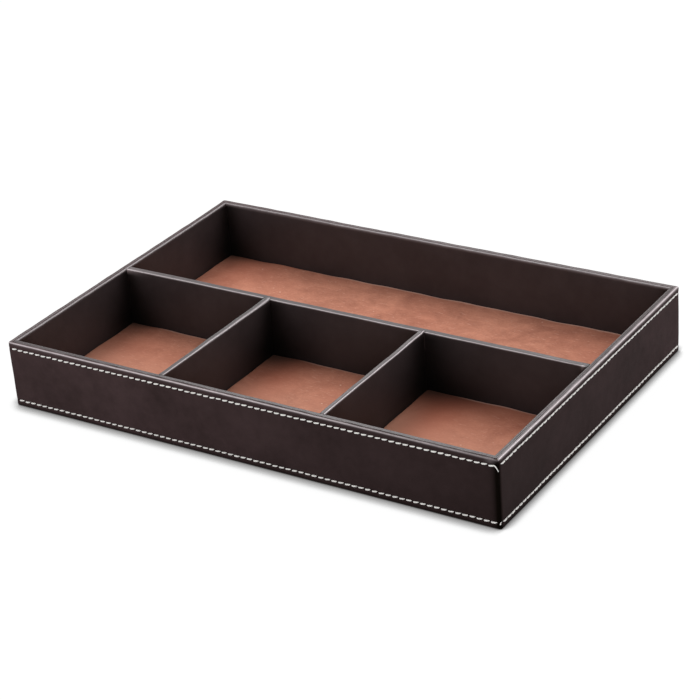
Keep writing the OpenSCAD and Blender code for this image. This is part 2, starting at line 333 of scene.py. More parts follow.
class Finish(Graph):
    """A material on a Principled shader."""

    def __init__(self, name):
        self.material = bpy.data.materials.new(name)
        self.material.use_nodes = True
        super().__init__(self.material.node_tree)
        self.shader = self.tree.nodes["Principled BSDF"]
        self.place = self.node("ShaderNodeTexCoord", {}, {}, "Object")

    def noise(self, scale, detail=2.0, roughness=0.5, place=None, distortion=0.0):
        sockets = {"Vector": place or self.place, "Scale": scale, "Detail": detail,
                   "Roughness": roughness, "Distortion": distortion}
        return self.node("ShaderNodeTexNoise", {}, sockets)

    def cells(self, scale, feature="F1", place=None, smooth=0.5):
        sockets = {"Vector": place or self.place, "Scale": scale}
        if feature == "SMOOTH_F1":
            sockets["Smoothness"] = smooth
        return self.node("ShaderNodeTexVoronoi", {"feature": feature}, sockets)

    def stretched(self, scale, turn=(0.0, 0.0, 0.0)):
        """Object coordinates scaled along each axis and turned."""
        sockets = {"Vector": self.place, "Scale": scale, "Rotation": turn}
        return self.node("ShaderNodeMapping", {"vector_type": "POINT"}, sockets)

    def part(self, name, vector=None):
        """X, Y or Z of a vector, or of the place."""
        return self.node("ShaderNodeSeparateXYZ", {}, {0: vector or self.place}, name)

    def attribute(self, name, output="Fac"):
        return self.node("ShaderNodeAttribute", {"attribute_name": name}, {}, output)

    def mix(self, share, a, b):
        """Colour a where share is 0 and b where it is 1."""
        return self.node("ShaderNodeMix", {"data_type": "RGBA"}, {0: share, 6: a, 7: b}, 2)

    def bump(self, height, strength, depth):
        return self.node("ShaderNodeBump", {}, {"Height": height, "Strength": strength, "Distance": depth})

    def surface(self, **inputs):
        """Feeds the shader. Underscores in a name stand for spaces."""
        self.feed(self.shader, {key.replace("_", " "): value for key, value in inputs.items()})
        return self.material


def rgb(red, green, blue):
    """A colour as read off a picture, from 0 to 255, as the shader's linear values."""
    values = [c / 255 for c in (red, green, blue)]
    return tuple([c / 12.92 if c <= 0.04045 else ((c + 0.055) / 1.055) ** 2.4 for c in values] + [1.0])


# Finishes

def needle_marks(skin):
    """Share of a needle hole at each point: near a whole number of stitches and near a row."""
    sewing = skin.attribute("sewing", "Vector")
    count, *offs = [skin.part(axis, sewing) for axis in "XYZ"]
    along = ((count + 0.5).fraction() - 0.5) * PITCH
    marks = 0.0
    for off in offs:
        distance = (along * along + off * off) ** 0.5
        marks = marks + distance.below(0.25 * MM, 0.8 * MM)
    return marks


def leather_finish(name, deep, light, sewn, gloss, shine):
    """Satin leather: pebbled grain, faint creases, rolled edges with a dressing coat, a lighter rim band that
    is partly wear and partly painted sheen, painted highlight lines, and painted shade.
    """
    skin = Finish(name)
    pebbles = skin.cells(1450.0, "SMOOTH_F1", smooth=0.7)
    pores = skin.noise(5200.0, 2.0)
    crease = skin.cells(330.0, "DISTANCE_TO_EDGE", place=skin.stretched((1.0, 1.0, 1.6), (0.3, 0.2, 0.5)))
    cloud = skin.noise(26.0, 4.0, 0.6)
    shade = skin.noise(160.0, 3.0, 0.55)
    tone = (cloud * 0.7 + shade * 0.3).above(0.3, 0.72)
    colour = skin.mix(tone, deep, light)
    edge = skin.part("Z").above(RIM - 1.3 * MM, RIM - 0.6 * MM)
    line = skin.attribute("line")
    wear_and_sheen_noise = skin.noise(240.0, 3.0).above(0.35, 0.7)
    rough = gloss + (cloud - 0.5) * 0.10 + (pebbles * 0.08)
    if sewn:
        # painted shade: the outer faces darken towards the front right corner
        from_seam = ((skin.part("X") - HALF_LENGTH) ** 2.0 + (skin.part("Y") + HALF_DEPTH) ** 2.0) ** 0.5
        colour = skin.mix(from_seam.below(0.0, 300 * MM) * 0.66, colour, rgb(32, 24, 23))
        # painted shade: a near-black band along the bottom edge, stronger on the right side
        bottom_shade = skin.part("Z").below(SKIN_BOTTOM + 0.8 * MM, SKIN_BOTTOM + 2.4 * MM)
        on_right = skin.part("X").above(HALF_LENGTH - 0.6 * MM, HALF_LENGTH - 0.2 * MM)
        colour = skin.mix(bottom_shade * (0.5 + on_right * 0.3), colour, rgb(14, 9, 8))
    # a lighter band at the rim, partly wear and partly painted sheen, then the pale painted highlight line
    # along the rolled edge
    colour = skin.mix(edge * (0.10 + wear_and_sheen_noise * 0.16), colour, rgb(116, 101, 102))
    colour = skin.mix(line * (0.80 + wear_and_sheen_noise * 0.20), colour, rgb(205, 193, 196))
    dressing = edge * 0.32 + line * 0.5
    if sewn:
        # painted shade in the needle holes
        holes = needle_marks(skin)
        colour = skin.mix(holes * 0.7, colour, rgb(9, 6, 6))
        # near-black painted shade in the turned-in seam at the front right corner
        seam_shade = skin.attribute("seam").clamped()
        colour = skin.mix(seam_shade * 0.96, colour, rgb(10, 7, 4))
        rough = rough + holes * 0.3 + seam_shade * 0.3
        dressing = dressing * (1.0 - seam_shade)
    else:
        # painted shade: the bins' corners, the far half of divider tops and the long divider's right end
        # darken towards near-black
        colour = skin.mix(skin.attribute("painted_shade"), colour, rgb(3, 2, 1))
    relief = pebbles * 0.75 + pores * 0.18 + crease.below(0.0, 0.08) * -0.25
    normal = skin.bump(relief, 0.30, 0.12 * MM)
    return skin.surface(Base_Color=colour, Roughness=rough, Normal=normal, Specular_IOR_Level=shine,
                        Coat_Weight=dressing, Coat_Roughness=0.2, Coat_IOR=1.5)


def suede_finish():
    """Brushed suede cloth: clouds of turned nap, short fibres and lint, with painted shade, painted light and
    a painted highlight along the back edge.
    """
    nap = Finish("suede nap")
    clouds = nap.noise(30.0, 4.0, 0.6, distortion=0.8)
    brushed = nap.stretched((1.0, 1.5, 1.0), (0.0, 0.0, 0.9))
    patches = nap.noise(75.0, 4.0, 0.62, place=brushed, distortion=0.5)
    fibres = nap.noise(2600.0, 3.0, 0.7, place=nap.stretched((1.0, 0.45, 1.0), (0.0, 0.0, -0.5)))
    fluff = nap.noise(600.0, 4.0, 0.65)
    tone = (clouds * 0.45 + patches * 0.35 + fluff * 0.2).above(0.36, 0.66)
    colour = nap.mix(tone, rgb(149, 94, 76), rgb(203, 139, 114))
    colour = nap.mix(nap.noise(17.0, 2.0).above(0.45, 0.7) * 0.3, colour, rgb(190, 118, 96))
    colour = nap.mix(fibres.above(0.55, 0.8) * 0.24, colour, rgb(224, 176, 154))
    colour = nap.mix(fibres.below(0.2, 0.42) * 0.22, colour, rgb(122, 76, 60))
    lint = nap.cells(95.0, place=nap.stretched((1.0, 1.5, 1.0), (0.0, 0.0, 0.4))).below(0.03, 0.08)
    lint = lint * nap.noise(45.0, 2.0).above(0.50, 0.58)
    colour = nap.mix(lint * 0.8, colour, rgb(240, 214, 196))
    scuff = nap.noise(220.0, 2.0, 0.5, place=nap.stretched((1.0, 6.0, 1.0), (0.0, 0.0, 1.1)))
    colour = nap.mix(scuff.above(0.62, 0.72) * 0.4, colour, rgb(226, 180, 160))
    # painted shade, painted light, painted dark in corners and along edges, and a painted highlight along the
    # back edge, from the sheet's attributes
    colour = nap.mix(nap.attribute("shade") * 0.6, colour, rgb(149, 83, 64))
    colour = nap.mix(nap.attribute("painted_light"), colour, rgb(224, 168, 143))
    colour = nap.mix(nap.attribute("painted_dark"), colour, rgb(44, 24, 18))
    colour = nap.mix(nap.attribute("edge"), colour, rgb(236, 200, 184))
    height = fibres * 0.5 + fluff * 0.45 + patches * 0.5
    normal = nap.bump(height, 0.5, 0.30 * MM)
    return nap.surface(Base_Color=colour, Roughness=0.95, Normal=normal, Specular_IOR_Level=0.1,
                       Sheen_Weight=0.2, Sheen_Roughness=0.5, Sheen_Tint=rgb(236, 196, 176))


def thread_finish():
    """Cream sewing thread: two plies that wind round each other."""
    yarn = Finish("cream thread")
    turns = yarn.part("X", yarn.attribute("ply", "Vector"))
    groove = abs((turns.fraction() - 0.5) * 2.0)
    fuzz = yarn.noise(3800.0, 3.0, 0.7)
    # painted shade in the groove between the plies
    colour = yarn.mix(groove.above(0.6, 1.0) * 0.3, rgb(255, 253, 249), rgb(222, 214, 206))
    colour = yarn.mix(fuzz.above(0.5, 0.8) * 0.25, colour, rgb(252, 249, 244))
    normal = yarn.bump(groove * -0.8 + fuzz * 0.25, 0.6, 0.12 * MM)
    return yarn.surface(Base_Color=colour, Roughness=0.62, Normal=normal, Specular_IOR_Level=0.3,
                        Sheen_Weight=0.15)


def felt_finish():
    """Black backing felt: matted fibres that lie in every direction."""
    mat = Finish("black felt")
    fibres = mat.noise(2400.0, 5.0, 0.75, distortion=1.5)
    lumps = mat.noise(180.0, 3.0, 0.6)
    drifts = mat.noise(22.0, 4.0, 0.6)
    hairs = mat.noise(420.0, 4.0, 0.8, place=mat.stretched((1.0, 4.0, 1.0), (0.0, 0.0, 0.7)), distortion=2.0)
    colour = mat.mix(fibres.above(0.4, 0.75), rgb(20, 18, 18), rgb(50, 46, 45))
    colour = mat.mix(lumps.above(0.4, 0.7) * 0.4, colour, rgb(30, 28, 28))
    colour = mat.mix(drifts.above(0.4, 0.65) * 0.35, colour, rgb(58, 53, 51))
    colour = mat.mix(hairs.above(0.60, 0.72) * 0.5, colour, rgb(92, 86, 82))
    normal = mat.bump(fibres * 0.7 + lumps * 0.3, 0.7, 0.3 * MM)
    return mat.surface(Base_Color=colour, Roughness=0.97, Normal=normal, Specular_IOR_Level=0.1,
                       Sheen_Weight=0.2)


def fibreboard_finish():
    """Pressed fibreboard: tan, with short dark and pale fibres."""
    board = Finish("fibreboard")
    chips = board.noise(900.0, 4.0, 0.7, distortion=1.0)
    dust = board.noise(3000.0, 2.0)
    colour = board.mix(chips.above(0.35, 0.7), rgb(176, 142, 100), rgb(204, 172, 128))
    colour = board.mix(dust.below(0.25, 0.4) * 0.4, colour, rgb(128, 98, 66))
    normal = board.bump(chips * 0.5 + dust * 0.5, 0.3, 0.1 * MM)
    return board.surface(Base_Color=colour, Roughness=0.8, Normal=normal, Specular_IOR_Level=0.25)


def card_finish():
    """Grey pasteboard: mottled, with recycled flecks."""
    card = Finish("grey card")
    mottle = card.noise(300.0, 4.0, 0.6)
    flecks = card.cells(1300.0)
    colour = card.mix(mottle.above(0.35, 0.7), rgb(152, 147, 138), rgb(176, 171, 161))
    colour = card.mix(flecks.below(0.05, 0.16) * 0.5, colour, rgb(104, 96, 86))
    normal = card.bump(mottle + flecks * 0.3, 0.25, 0.08 * MM)
    return card.surface(Base_Color=colour, Roughness=0.85, Normal=normal, Specular_IOR_Level=0.2)


OUTER = leather_finish("outer leather", rgb(54, 42, 42), rgb(76, 60, 61), sewn=True, gloss=0.46,
                       shine=0.01)
LINING = leather_finish("lining leather", rgb(49, 42, 43), rgb(63, 55, 56), sewn=False, gloss=0.42,
                        shine=0.25)
SUEDE = suede_finish()
YARN = thread_finish()
FELT = felt_finish()
BOARD = fibreboard_finish()
CARD = card_finish()


# The outer leather strip

def strip_stations():
    """Stations round the tray from the seam at the front right corner, anticlockwise.

    Each has the point on the rectangle of the corner axes, the outward direction, the distance along
    the outside and the count of stitches along its side, whole at each needle hole. The ends stand
    half a seam gap away from the middle of the corner.
    """
    half_x = HALF_LENGTH - CORNER_RADIUS
    half_y = HALF_DEPTH - CORNER_RADIUS
    end_angle = 45.0 - math.degrees(CORNER_GAP / 2 / CORNER_RADIUS)
    corner_points = 9
    parts = []

    def add(axis, angles, distance, count):
        """Stations on one corner axis with turning angles, or on a side with one angle for all."""
        radians = np.radians(angles)
        axis, outward = np.broadcast_arrays(axis, np.stack([np.cos(radians), np.sin(radians)], -1))
        parts.append((axis, outward, distance, count))

    travelled = 0.0
    sides = ((0, half_x, half_y), (90, half_y, half_x), (180, half_x, half_y), (270, half_y, half_x))
    for turn, out, along in sides:
        angle = math.radians(turn)
        normal = np.array([math.cos(angle), math.sin(angle)])
        forward = np.array([-math.sin(angle), math.cos(angle)])
        holes = math.floor((2 * along + PITCH - STITCH) / PITCH)
        # the corner before this side
        angles = np.linspace(turn - (90 if turn else end_angle), turn, corner_points)[:-1]
        bend = np.radians(angles - turn) * CORNER_RADIUS
        quarter = CORNER_RADIUS * np.pi / 2
        add(normal * out - forward * along, angles, travelled + quarter + bend,
            (bend - along) / PITCH + holes / 2)
        travelled += quarter
        # the straight run, with more stations close to the seam
        places = np.linspace(-along, along, int(round(2 * along / (PITCH / 4))) + 1)
        if turn == 0:
            places = np.union1d(places, -along + NEAR_SEAM)
        if turn == 270:
            places = np.union1d(places, along - NEAR_SEAM)
        add(normal * out + forward * places[:, None], np.full(len(places), turn), travelled + places + along,
            places / PITCH + holes / 2)
        travelled += 2 * along
    angles = np.linspace(270, 270 + end_angle, corner_points)[1:]
    bend = np.radians(angles - 270) * CORNER_RADIUS
    add(np.array([half_x, -half_y]), angles, travelled + bend, (half_x + bend) / PITCH + holes / 2)
    return [np.concatenate(part) for part in zip(*parts)]


def arc(centre_u, centre_z, radius, start, end, points):
    """Points of an arc in the section plane, with angles in degrees from the inward direction up."""
    angles = np.radians(np.linspace(start, end, points))
    return np.stack([centre_u + radius * np.cos(angles), centre_z + radius * np.sin(angles)], 1)


def closed_section(shown, hidden, side):
    """Shown and hidden points as one section, and its unit normals, which are 0 where hidden.

    Side is 1 for normals to the left of the way along the section, and -1 for normals to its right.
    """
    section = np.concatenate([shown, hidden])
    ahead = np.roll(section, -1, 0) - np.roll(section, 1, 0)
    normals = side * np.stack([-ahead[:, 1], ahead[:, 0]], 1)
    normals /= np.maximum(np.linalg.norm(normals, axis=1, keepdims=True), 1e-12)
    normals[len(shown):] = 0
    return section, normals


def rim_rise(x, y):
    """How far the back rim stands up out of true: 0.25 mm + 0.45 mm x exp(-(way / 45 mm) ** 2)."""
    return (0.25 + 0.45 * bell(x + 140 * MM, 45 * MM)) * MM * ramp(y, HALF_DEPTH - 30 * MM, HALF_DEPTH)


def rim_slope(seam):
    """Top of a rolled edge as distance in and height: level at the shoulder, then down to the seam.

    The height falls by GROOVE x t t (3 - 2 t) while t goes from 0 at the shoulder to 1 near the seam.
    """
    t = np.linspace(0, 1, 9)[1:]
    inward = SHOULDER + (seam - 0.14 * MM - SHOULDER) * t
    down = RIM - GROOVE * eased(t)
    lip = [[seam - 0.05 * MM, RIM - GROOVE - 0.06 * MM], [seam, RIM - GROOVE - 0.35 * MM]]
    return np.concatenate([np.stack([inward, down], 1), lip])


def strip_section():
    """Section of the outer strip as inset from the outside and height, with its normals.

    It runs from the seam in the rim over the rolled edge, down the face, round the bottom edge and in
    under the base; the points after those lie against the boards.
    """
    seam = WALL / 2 - SEAM_GAP / 2
    near = np.array([2.0, 1.6, 1.3, 1.0, 0.7, 0.4, 0.1, -0.2, -0.5, -0.8, -1.2, -1.6]) * MM
    face = np.concatenate([
        [RIM - 2.2 * MM],
        UPPER_ROW + near,
        np.linspace(UPPER_ROW - 3.2 * MM, LOWER_ROW + 3.0 * MM, 13),
        LOWER_ROW + near[:-1],
    ])
    bottom_z = SKIN_BOTTOM + BOTTOM_RADIUS
    shown = np.concatenate([
        rim_slope(seam)[::-1],
        arc(SHOULDER, RIM - SHOULDER, SHOULDER, 90, 180, 9),
        np.stack([np.zeros_like(face), face], 1),
        arc(BOTTOM_RADIUS, bottom_z, BOTTOM_RADIUS, 180, 270, 8),
        [[CORNER_RADIUS, SKIN_BOTTOM], [2.0 * MM, SKIN_BOTTOM], [6.0 * MM, SKIN_BOTTOM],
         [10.0 * MM, SKIN_BOTTOM], [TURN_IN, SKIN_BOTTOM]],
    ])
    hidden = np.array([
        [TURN_IN, BASE_BOTTOM], [CORNER_RADIUS, BASE_BOTTOM], [LEATHER, BASE_BOTTOM],
        [LEATHER, BOARD_TOP], [seam, BOARD_TOP],
    ])
    return closed_section(shown, hidden, 1)


def carried(axes, outward, inset, height):
    """Carries section points round the tray.

    A point inside the corner radius lies at axis + (radius - inset) x outward. Past it, the rectangle
    of the axes shrinks until the corners meet on the diagonals.
    """
    half = np.array([HALF_LENGTH, HALF_DEPTH])
    reach = (CORNER_RADIUS - inset)[..., None]
    near = axes[:, None, :] + reach * outward[:, None, :]
    shrink = (half - inset[..., None]) / (half - CORNER_RADIUS)
    far = axes[:, None, :] * shrink
    plan = np.where(reach >= 0, near, far)
    return np.concatenate([plan, np.broadcast_to(height, inset.shape)[..., None]], -1)


def row_heights(outward):
    """Heights of the upper and lower row for outward directions. The right side is sewn a little higher."""
    to_right = np.clip(outward[..., 0], 0, 1)
    return UPPER_ROW + (0.1 + 0.8 * to_right) * MM, LOWER_ROW + (0.3 + 0.2 * to_right) * MM


def sewing_dent(count, offs):
    """How far the leather sinks at the rows: a shallow channel, deeper at each needle hole."""
    at_hole = (0.5 + 0.5 * np.cos(2 * np.pi * count)) ** 3
    return sum(bell(off, 0.75 * MM) * (0.12 * MM + 0.24 * MM * at_hole) for off in offs)


def outer_strip():
    """The strip: its section carried round, swollen and rippled a little, with sunken rows."""
    axes, outward, distance, count = strip_stations()
    section, normals = strip_section()
    moves = np.abs(normals).sum(1) > 0
    trip = distance[-1] - distance[0]
    s = distance[:, None]
    inset = np.broadcast_to(section[:, 0], (len(s), len(section)))
    height = np.broadcast_to(section[:, 1], inset.shape)
    # swollen faces and a wavering rim
    around = [(trip / 9, 0.06), (-trip / 14, 0.05), (trip / 23, 0.09), (-trip / 31, 0.04)]
    swell = 0.13 * MM * ripple(s, height, around, 11)
    fine = 0.03 * MM * ripple(s, height, [(trip / 90, 0.02), (-trip / 120, 0.016)], 12)
    on_face = ramp(height, RIM - 2.2 * MM, RIM - 4.2 * MM) * (height > SKIN_BOTTOM + 0.5 * MM)
    rolled = ramp(height, RIM - 2.6 * MM, RIM - 1.1 * MM)
    waver = 0.10 * MM * ripple(s, 0, [(trip / 17, ENDLESS), (trip / 41, ENDLESS), (trip / 67, ENDLESS)], 13)
    # the ends are turned in at the seam, the front one in a wider roll
    start, end = s - distance[0], distance[-1] - s
    turned = -0.50 * MM * bell(start, 1.2 * MM) - 0.65 * MM * bell(end, 2.6 * MM)
    turned = turned * ramp(height, SKIN_BOTTOM + BOTTOM_RADIUS, SKIN_BOTTOM + BOTTOM_RADIUS + 2 * MM)
    # painted shade weight for the seam: near-black at the turned-in ends, lighter towards the rim
    seam = 1.15 * bell(start, 1.5 * MM) + 1.35 * bell(end, 3.6 * MM)
    seam = seam * (0.3 + 0.7 * ramp(height, RIM - 0.6 * MM, RIM - 3.0 * MM))
    # painted highlights: pale lines along the rolled edge and a faint painted sheen by the seam
    front_highlight = painted_highlight_band(section, shoulder_place(0.0, 1.0, 47.0), 0.39 * MM)
    front_highlight = front_highlight * (0.38 + 0.70 * ramp(axes[:, :1], HALF_LENGTH, HALF_LENGTH - 170 * MM))
    right_highlight = painted_highlight_band(section, shoulder_place(0.0, 1.0, 15.0), 0.58 * MM)
    top_highlight = painted_highlight_band(section, (2.0 * MM, RIM), 0.8 * MM)
    to_front, to_back = np.clip(-outward[:, 1:], 0, 1), np.clip(outward[:, 1:], 0, 1)
    to_right = np.clip(outward[:, :1], 0, 1)
    right_top_highlight = (0.28 + 0.14 * ramp(axes[:, 1:], HALF_DEPTH, -HALF_DEPTH)) * top_highlight
    line = to_front * front_highlight + to_right * (right_highlight + right_top_highlight) + 0.07 * to_back * top_highlight
    seam_sheen = bell(end - 4.5 * MM, 3.5 * MM) * ramp(height, RIM - 3.4 * MM, RIM - 1.4 * MM)
    line = np.maximum(line, 0.16 * seam_sheen)
    # all of it put onto the section
    offs = [height - row[:, None] for row in row_heights(outward)]
    sewing = np.stack([np.broadcast_to(count[:, None], inset.shape), *offs], -1).reshape(-1, 3)
    push = (swell + fine) * on_face - sewing_dent(count[:, None], offs) * (inset < 0.5 * MM) + turned
    inset = inset - (push + rolled * waver) * normals[:, 0]
    height = height - push * normals[:, 1] + rolled * waver * moves
    points = carried(axes, outward, inset, height)
    points[..., 2] += rim_rise(points[..., 0], points[..., 1]) * rolled * moves
    return make_piece("outer_leather", points, carried_faces(points), OUTER, ["outer_wrap"],
                      attributes={"sewing": sewing, "seam": seam.ravel(), "line": line.ravel()})


# Linings and divider covers

def lining_section():
    """Section of a wall lining as inset and height, with its normals: bin face, rolled edge, seam."""
    seam = WALL / 2 + SEAM_GAP / 2
    face = np.linspace(BASE_TOP, RIM - 2.0 * MM, 15)
    slope = rim_slope(WALL - seam)
    slope[:, 0] = WALL - slope[:, 0]
    shown = np.concatenate([
        np.stack([np.full_like(face, WALL), face], 1),
        arc(WALL - SHOULDER, RIM - SHOULDER, SHOULDER, 0, 90, 9),
        slope,
    ])
    hidden = np.array([[seam, BOARD_TOP], [WALL - LEATHER, BOARD_TOP], [WALL - LEATHER, BASE_TOP]])
    return closed_section(shown, hidden, -1)


def wall_lining(name, turn, half_out, half_along, seed, painted_light_share=0.0, highlight_turn=4.0, highlight_width=0.75 * MM):
    """A lining: its section carried along one wall and mitred on the diagonals at both ends.

    A painted highlight runs along the rolled edge with the given strength and width, where the edge has
    turned by the given number of degrees. Painted shade darkens the bins' corners.
    """
    section, normals = lining_section()
    steps = int(round(2 * half_along / (1.5 * MM)))
    share = np.linspace(-1, 1, steps + 1)[:, None]
    inset = np.broadcast_to(section[:, 0], (len(share), len(section)))
    height = np.broadcast_to(section[:, 1], inset.shape)
    s = share * half_along
    swell = 0.12 * MM * ripple(s, height, [(0.093, 0.05), (-0.061, 0.08), (0.037, 0.045)], seed)
    rolled = ramp(height, RIM - 2.6 * MM, RIM - 1.1 * MM)
    waver = 0.09 * MM * ripple(s, 0, [(0.071, ENDLESS), (0.029, ENDLESS), (0.0173, ENDLESS)], seed + 50)
    push = swell * ramp(height, RIM - 2.5 * MM, RIM - 5.5 * MM) + rolled * waver
    inset = inset - push * normals[:, 0]
    height = height + push * normals[:, 1]
    along = share * (half_along - inset - SEAM_GAP / 2)
    angle = math.radians(turn)
    x = (half_out - inset) * math.cos(angle) - along * math.sin(angle)
    y = (half_out - inset) * math.sin(angle) + along * math.cos(angle)
    points = np.stack([x, y, height + rim_rise(x, y) * rolled * (normals[:, 1] != 0)], -1)
    # painted highlight along the rolled edge, and painted shade in the bins' corners
    line = painted_light_share * painted_highlight_band(section, shoulder_place(WALL, -1.0, highlight_turn), highlight_width)
    attributes = {"line": np.broadcast_to(line, inset.shape).ravel(), "painted_shade": painted_corner_shade(points)}
    return make_piece(name.replace("_wall_lining", "_lining"), points, carried_faces(points),
                      LINING, [name], attributes=attributes)


def divider_section(low, high):
    """Section of a divider's cover as offset from its middle and height, with its normals."""
    half = high - (low + high) / 2
    face = np.linspace(BASE_TOP, RIM - DIVIDER_EDGE - 0.3 * MM, 14)
    middle_z = RIM - DIVIDER_EDGE
    edge = half - DIVIDER_EDGE
    right = arc(edge, middle_z, DIVIDER_EDGE, 0, 100, 10)
    left = arc(-edge, middle_z, DIVIDER_EDGE, 80, 180, 10)
    shown = np.concatenate([
        np.stack([np.full_like(face, half), face], 1),
        right,
        [[0.6 * MM, RIM - 0.24 * MM], [0.0, RIM - 0.26 * MM], [-0.6 * MM, RIM - 0.24 * MM]],
        left,
        np.stack([np.full_like(face, -half), face[::-1]], 1),
    ])
    inner = half - LEATHER
    hidden = np.array([[-inner, BASE_TOP], [-inner, BOARD_TOP], [inner, BOARD_TOP], [inner, BASE_TOP]])
    return closed_section(shown, hidden, -1)


def leaning(height):
    """How much of a divider's lean each height has: 0 at its foot and 1 towards its top."""
    return ramp(height, 8 * MM, 38 * MM)


def divider_cover(node, name, long_way, seed, left, right, painted_light_share, highlight_turn, highlight_width, far_shade):
    """A divider's cover: its section carried along the divider, with a faintly wavering top.

    The hand-laid leather is thinner or thicker in places: left and right say how far each face stands
    aside at the start and at the end of the divider, in millimetres towards the right.

    Where a cross divider meets the long one, its end leans with the long one's front face, and its top
    goes on as a thin lip that steps up onto the long divider and narrows: section points below the step
    are lifted to it. A painted highlight runs along the near edge and painted shade darkens the far half
    of the top, each with a strength given at the start and at the end; painted shade also darkens the
    bins' corners. Where the long cover is tucked in at the walls its painted highlight broadens, by
    exp(-(way from the end / 5 mm)) at the left; at its right end a painted highlight spot stands before
    a painted dark end.
    """
    low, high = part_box(node)
    across = (low.y, high.y) if long_way else (low.x, high.x)
    end = high.x if long_way else LONG_FRONT
    run = (low.x if long_way else low.y, end)
    middle = sum(across) / 2
    half = across[1] - middle
    section, normals = divider_section(*across)
    moves = np.abs(normals).sum(1) > 0
    steps = int(round((run[1] - run[0]) / (1.4 * MM)))
    s = np.linspace(run[0], run[1], steps + 1)[:, None]
    if not long_way:
        s = np.concatenate([s, end + np.array([[0.02], [0.3], [0.7], [1.1], [1.5], [1.8], [2.0]]) * MM])
    offset = np.broadcast_to(section[:, 0], (len(s), len(section)))
    height = np.broadcast_to(section[:, 1], offset.shape)
    way = ramp(s, *run)
    past = ramp(s, end, end + LAP)
    near_top = ramp(height, RIM - 3 * MM, RIM)
    swell = 0.10 * MM * ripple(s, height, [(0.083, 0.05), (-0.052, 0.07), (0.031, 0.045)], seed)
    bends = [(0.147, ENDLESS), (0.064, ENDLESS), (0.031, ENDLESS)]
    bend = 0.22 * MM * near_top * ripple(s, 0, bends, seed + 30)
    lift = 0.10 * MM * near_top * ripple(s, 0, [(0.097, ENDLESS), (0.041, ENDLESS)], seed + 60)
    side = section[:, 0] / half
    aside = between(right, way) * np.clip(side, 0, 1) + between(left, way) * np.clip(-side, 0, 1)
    offset = offset + swell * normals[:, 0] + (bend + aside * leaning(height) * MM) * moves
    # the cover keeps off its board
    least = np.sign(side) * np.maximum(np.abs(offset), half - LEATHER + 0.05 * MM)
    offset = np.where(moves & (section[:, 1] < BOARD_TOP), least, offset)
    height = height + swell * normals[:, 1] * near_top + lift * moves
    if not long_way:
        height = height + 0.36 * MM * ramp(s, end - 2.5 * MM, end) ** 2 * near_top * moves
        height = height - 0.30 * MM * past ** 3 * moves
        height = np.where(past > 0, np.maximum(height, RIM - 0.1 * MM), height)
        offset = offset * (1 - 0.22 * past ** 1.5)
        met = np.interp(middle, [long_low.x, long_high.x], LONG_LEAN) * MM
        s = s - met * way ** 8 * leaning(height)
    along = np.broadcast_to(s, offset.shape)
    points = np.stack([along, middle - offset, height] if long_way else [middle + offset, along, height], -1)
    # painted highlight lines and painted shade on the far half of the tops
    place = shoulder_place(half, -1.0, highlight_turn)
    line = between(painted_light_share, way) * painted_highlight_band(section, place, highlight_width)
    far_half = np.clip(0.4 - side, 0, 1) * ramp(section[:, 1], RIM - 1.2 * MM, RIM - 0.6 * MM)
    painted_far_shade = between(far_shade, way) * far_half
    painted_shade = np.maximum(painted_corner_shade(points), painted_far_shade.ravel())
    # painted highlight at the long cover's tucked-in ends, and at its right end a painted highlight spot
    # beside a painted dark end
    if long_way:
        at_left, at_right = along - low.x, high.x - along
        on_face = (half, RIM - 1.2 * MM)
        line = line + 0.9 * np.exp(-at_left / (5 * MM)) * painted_highlight_band(section, on_face, 1.4 * MM)
        line = line + 0.10 * bell(at_left - 4 * MM, 7 * MM) * painted_highlight_band(section, on_face, 5 * MM)
        line = line + 0.9 * bell(at_right - 2.6 * MM, 1.1 * MM) * painted_highlight_band(section, place, 1.2 * MM)
        line = line * (1 - np.exp(-(at_right / (1.3 * MM)) ** 4))
        painted_shade = np.maximum(painted_shade, 0.92 * bell(at_right, 1.2 * MM).ravel())
    line = np.clip(line, 0, 1).ravel()
    return make_piece(name, points, carried_faces(points), LINING, [node],
                      attributes={"line": line, "painted_shade": painted_shade * (1 - 0.8 * line)})


# Sheets

def edge_crowded(low, high, step, margin):
    """Places from low to high, even in the middle and crowded towards both ends."""
    near = margin * np.array([0.0, 0.06, 0.16, 0.32, 0.55, 0.8])
    inside = np.linspace(low + margin, high - margin, int(round((high - low - 2 * margin) / step)) + 1)
    return np.concatenate([low + near, inside, high - near[::-1]])


def sheet_piece(name, x, y, top, bottom, corner, material, replaced, attributes=None):
    """A closed sheet between two heights over a grid, with its corners rounded in plan.

    In the square of each corner a point is drawn in towards the arc by max(p, q) / hypot(p, q), where
    p and q are its distances into the square.
    """
    x, y = np.meshgrid(x, y, indexing="ij")
    middle_x, middle_y = (x.min() + x.max()) / 2, (y.min() + y.max()) / 2
    start_x, start_y = x.max() - middle_x - corner, y.max() - middle_y - corner
    p = np.maximum(np.abs(x - middle_x) - start_x, 0)
    q = np.maximum(np.abs(y - middle_y) - start_y, 0)
    pull = np.where((p > 0) & (q > 0), np.maximum(p, q) / np.maximum(np.hypot(p, q), 1e-12), 1.0)
    x = middle_x + np.sign(x - middle_x) * np.where(p > 0, start_x + p * pull, np.abs(x - middle_x))
    y = middle_y + np.sign(y - middle_y) * np.where(q > 0, start_y + q * pull, np.abs(y - middle_y))
    rows, columns = x.shape
    upper = np.stack([x, y, top], -1).reshape(-1, 3)
    lower = np.stack([x, y, bottom], -1).reshape(-1, 3)
    count = rows * columns
    numbers = np.arange(count).reshape(rows, columns)
    border = np.concatenate([numbers[:, 0], numbers[-1, 1:], numbers[-2::-1, -1], numbers[0, -2:0:-1]])
    ahead = np.roll(border, -1)
    sides = np.stack([border, border + count, ahead + count, ahead], -1)
    faces = [grid_faces(rows, columns), grid_faces(rows, columns, first=count)[:, ::-1], sides]
    doubled = {key: np.tile(np.asarray(v).reshape(-1), 2) for key, v in (attributes or {}).items()}
    return make_piece(name, np.concatenate([upper, lower]), faces, material, replaced,
                      attributes=doubled)


